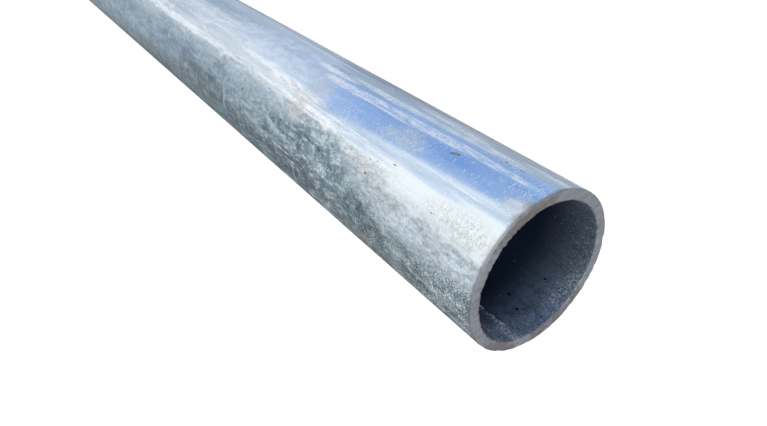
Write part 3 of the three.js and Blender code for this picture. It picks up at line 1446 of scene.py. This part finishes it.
            # The distance round the bore from the ridge's crest, as a share of half its width.
            share = ring["turn"]
            for operation, *others in (
                    ("SUBTRACT", given[f"{ridge.name} Angle"]), ("ADD", sway),
                    ("WRAP", math.pi, -math.pi), ("MULTIPLY", ring["wall_radius"]),
                    ("DIVIDE", half)):
                share = add_node(tree, "ShaderNodeMath", (share, *others), operation=operation)
            square = add_node(tree, "ShaderNodeMath", (share, share), operation="MULTIPLY")
            high = add_node(tree, "ShaderNodeMath", (1.0, square), operation="SUBTRACT",
                            use_clamp=True)
            lumps = add_node(tree, "ShaderNodeMapRange", {
                "Value": noise["lumps"], "From Min": 0.3, "From Max": 0.7,
                "To Min": 1 - ridge.uneven, "To Max": 1 + ridge.uneven})
            for factor in (given[f"{ridge.name} Height"], lumps, ring["in_bore"]):
                high = add_node(tree, "ShaderNodeMath", (high, factor), operation="MULTIPLY")
            heights[ridge.name] = high
        return heights

    def shaped(self, tree: Tree, given: Any, wall: Socket, ring: dict[str, Socket]) -> Socket:
        """Give the swept wall its relief.

        Args:
            tree: The tree.
            given: The sockets of its inputs, by name.
            wall: The swept wall.
            ring: What each of its points knows, by attribute.

        Returns:
            The wall with waves, damaged edges and ridges.
        """
        # Seeded noises at the plain wall: the size of their features in millimetres, their detail,
        # and how much shorter the wall counts along the tube.
        plain = self.placed(tree, ring["turn"], ring["wall_radius"], ring["wall_height"])
        noise = {}
        for name, size, detail, shrink in (
                ("wave", 13, 3.0, 0.22), ("notch", 0.9, 2.0, 1.0), ("chip", 2.1, 2.5, 1.0),
                ("sway", 5.0, 2.0, 1.0), ("lumps", 2.6, 3.0, 0.7)):
            point = add_node(tree, "ShaderNodeVectorMath", (plain, (1.0, 1.0, shrink)),
                             operation="MULTIPLY")
            noise[name] = add_node(tree, "ShaderNodeTexNoise", {
                "Vector": point, "W": given["Seed"], "Scale": 1 / (size * MM),
                "Detail": detail}, noise_dimensions="4D")

        # Soft waves of the zinc on skin and bore, notches along the inner edges, where the saw
        # broke out, deeper to one side, and chips along the outer edges.
        coated = add_node(tree, "ShaderNodeMath", (1.0, ring["on_face"]), operation="SUBTRACT")
        facing = add_node(tree, "ShaderNodeMath", (ring["turn"], given["Notch Angle"]),
                          operation="SUBTRACT")
        facing = add_node(tree, "ShaderNodeMath", (facing,), operation="COSINE")
        deeper = add_node(tree, "ShaderNodeMapRange", {
            "Value": facing, "From Min": -0.6, "From Max": 0.9, "To Min": 0.35, "To Max": 1.0},
            interpolation_type="SMOOTHSTEP")
        relief = {}
        for name, low, high, least, factors in (
                ("wave", 0.25, 0.75, -1.0, (coated, given["Wave Height"])),
                ("notch", 0.45, 0.72, 0.0, (ring["inner_lip"], deeper, given["Notch Depth"])),
                ("chip", 0.5, 0.75, 0.0, (ring["outer_lip"], given["Chip Depth"]))):
            part = add_node(tree, "ShaderNodeMapRange", {
                "Value": noise[name], "From Min": low, "From Max": high, "To Min": least})
            for factor in factors:
                part = add_node(tree, "ShaderNodeMath", (part, factor), operation="MULTIPLY")
            relief[name] = part

        ridges = self.ridge_heights(tree, given, ring, noise)
        radius = ring["wall_radius"]
        for part, operation in ((relief["wave"], "ADD"), (relief["notch"], "ADD"),
                                (relief["chip"], "SUBTRACT"),
                                *((high, "SUBTRACT") for high in ridges.values())):
            radius = add_node(tree, "ShaderNodeMath", (radius, part), operation=operation)
        sunk = add_node(tree, "ShaderNodeMath", (
            relief["notch"], 0.5, relief["chip"]), operation="MULTIPLY_ADD")
        sunk = add_node(tree, "ShaderNodeMath", (sunk, ring["end_sign"]), operation="MULTIPLY")
        height = add_node(tree, "ShaderNodeMath", (ring["wall_height"], sunk), operation="SUBTRACT")
        wall = add_node(tree, "GeometryNodeSetPosition", {
            "Geometry": wall, "Position": self.placed(tree, ring["turn"], radius, height)})
        wall = add_node(tree, "GeometryNodeFlipFaces", {"Mesh": wall})
        crests: Socket | float = 0.0
        for name, high in ridges.items():
            crest = add_node(tree, "ShaderNodeMath", (high, given[f"{name} Height"]),
                             operation="DIVIDE")
            crests = add_node(tree, "ShaderNodeMath", (crest, crests), operation="ADD")
        wall = add_node(tree, "GeometryNodeStoreNamedAttribute", {
            "Geometry": wall, "Name": "ridge", "Value": crests}, data_type="FLOAT",
            domain="POINT")
        return add_node(tree, "GeometryNodeSetShadeSmooth", {"Geometry": wall})

    def build(self) -> bpy.types.Object:
        """Make the tube as one plain mesh and hand it to the frame.

        Returns:
            The finished piece.
        """
        zinc, bore, steel = (
            finish(tube_length=self.section.length).material()
            for finish in (GalvanisedZinc, BoreZinc, SawnSteel))
        body = self.outline()
        tree = bpy.data.node_groups.new("swept_tube", "GeometryNodeTree")
        values = self.add_inputs(tree)
        given = add_node(tree, "NodeGroupInput").node.outputs
        wall, ring = self.swept(tree, given)
        wall = self.shaped(tree, given, wall, ring)
        wall = add_node(tree, "GeometryNodeRealizeInstances", {"Geometry": wall})
        wall = add_node(tree, "GeometryNodeSetMaterial", {"Geometry": wall, "Material": zinc})
        for share, material in ((ring["in_bore"], bore), (ring["on_face"], steel)):
            chosen = add_node(tree, "FunctionNodeCompare", {"A": share, "B": self.finish_share},
                              data_type="FLOAT", operation="GREATER_THAN")
            wall = add_node(tree, "GeometryNodeSetMaterial", {
                "Geometry": wall, "Selection": chosen, "Material": material})
        add_node(tree, "NodeGroupOutput", (wall,))

        modifier = body.modifiers.new("sweep", "NODES")
        modifier.node_group = tree
        for identifier, value in values.items():
            modifier[identifier] = value
        mesh = bpy.data.meshes.new_from_object(body.evaluated_get(
            bpy.context.evaluated_depsgraph_get()))
        body.modifiers.clear()
        body.data = mesh
        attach(body, "root")
        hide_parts("tube")
        return body


def report(piece: bpy.types.Object) -> None:
    """Log the size of a finished piece.

    Args:
        piece: The piece.
    """
    mesh = piece.data
    mesh.calc_loop_triangles()
    corners = [Vector(c) for c in piece.bound_box]
    size = [max(c[i] for c in corners) - min(c[i] for c in corners) for i in range(3)]
    volume = 0.0
    for triangle in mesh.loop_triangles:
        a, b, c = (mesh.vertices[i].co for i in triangle.vertices)
        volume += a.dot(b.cross(c)) / 6  # the tetrahedron from the origin to the triangle
    log.info("%s: %d triangles, %.1f x %.1f x %.1f mm, %.1f cm3 inside", piece.name,
             len(mesh.loop_triangles), *(s / MM for s in size), volume / CM**3)


def main() -> None:
    """Build the view, the tube and the studio, in that order."""
    logging.basicConfig(level=logging.INFO, format="%(name)s: %(message)s")
    Viewpoint().build()
    report(SteelTube().build())
    Studio().build()


if __name__ == "__main__":
    main()
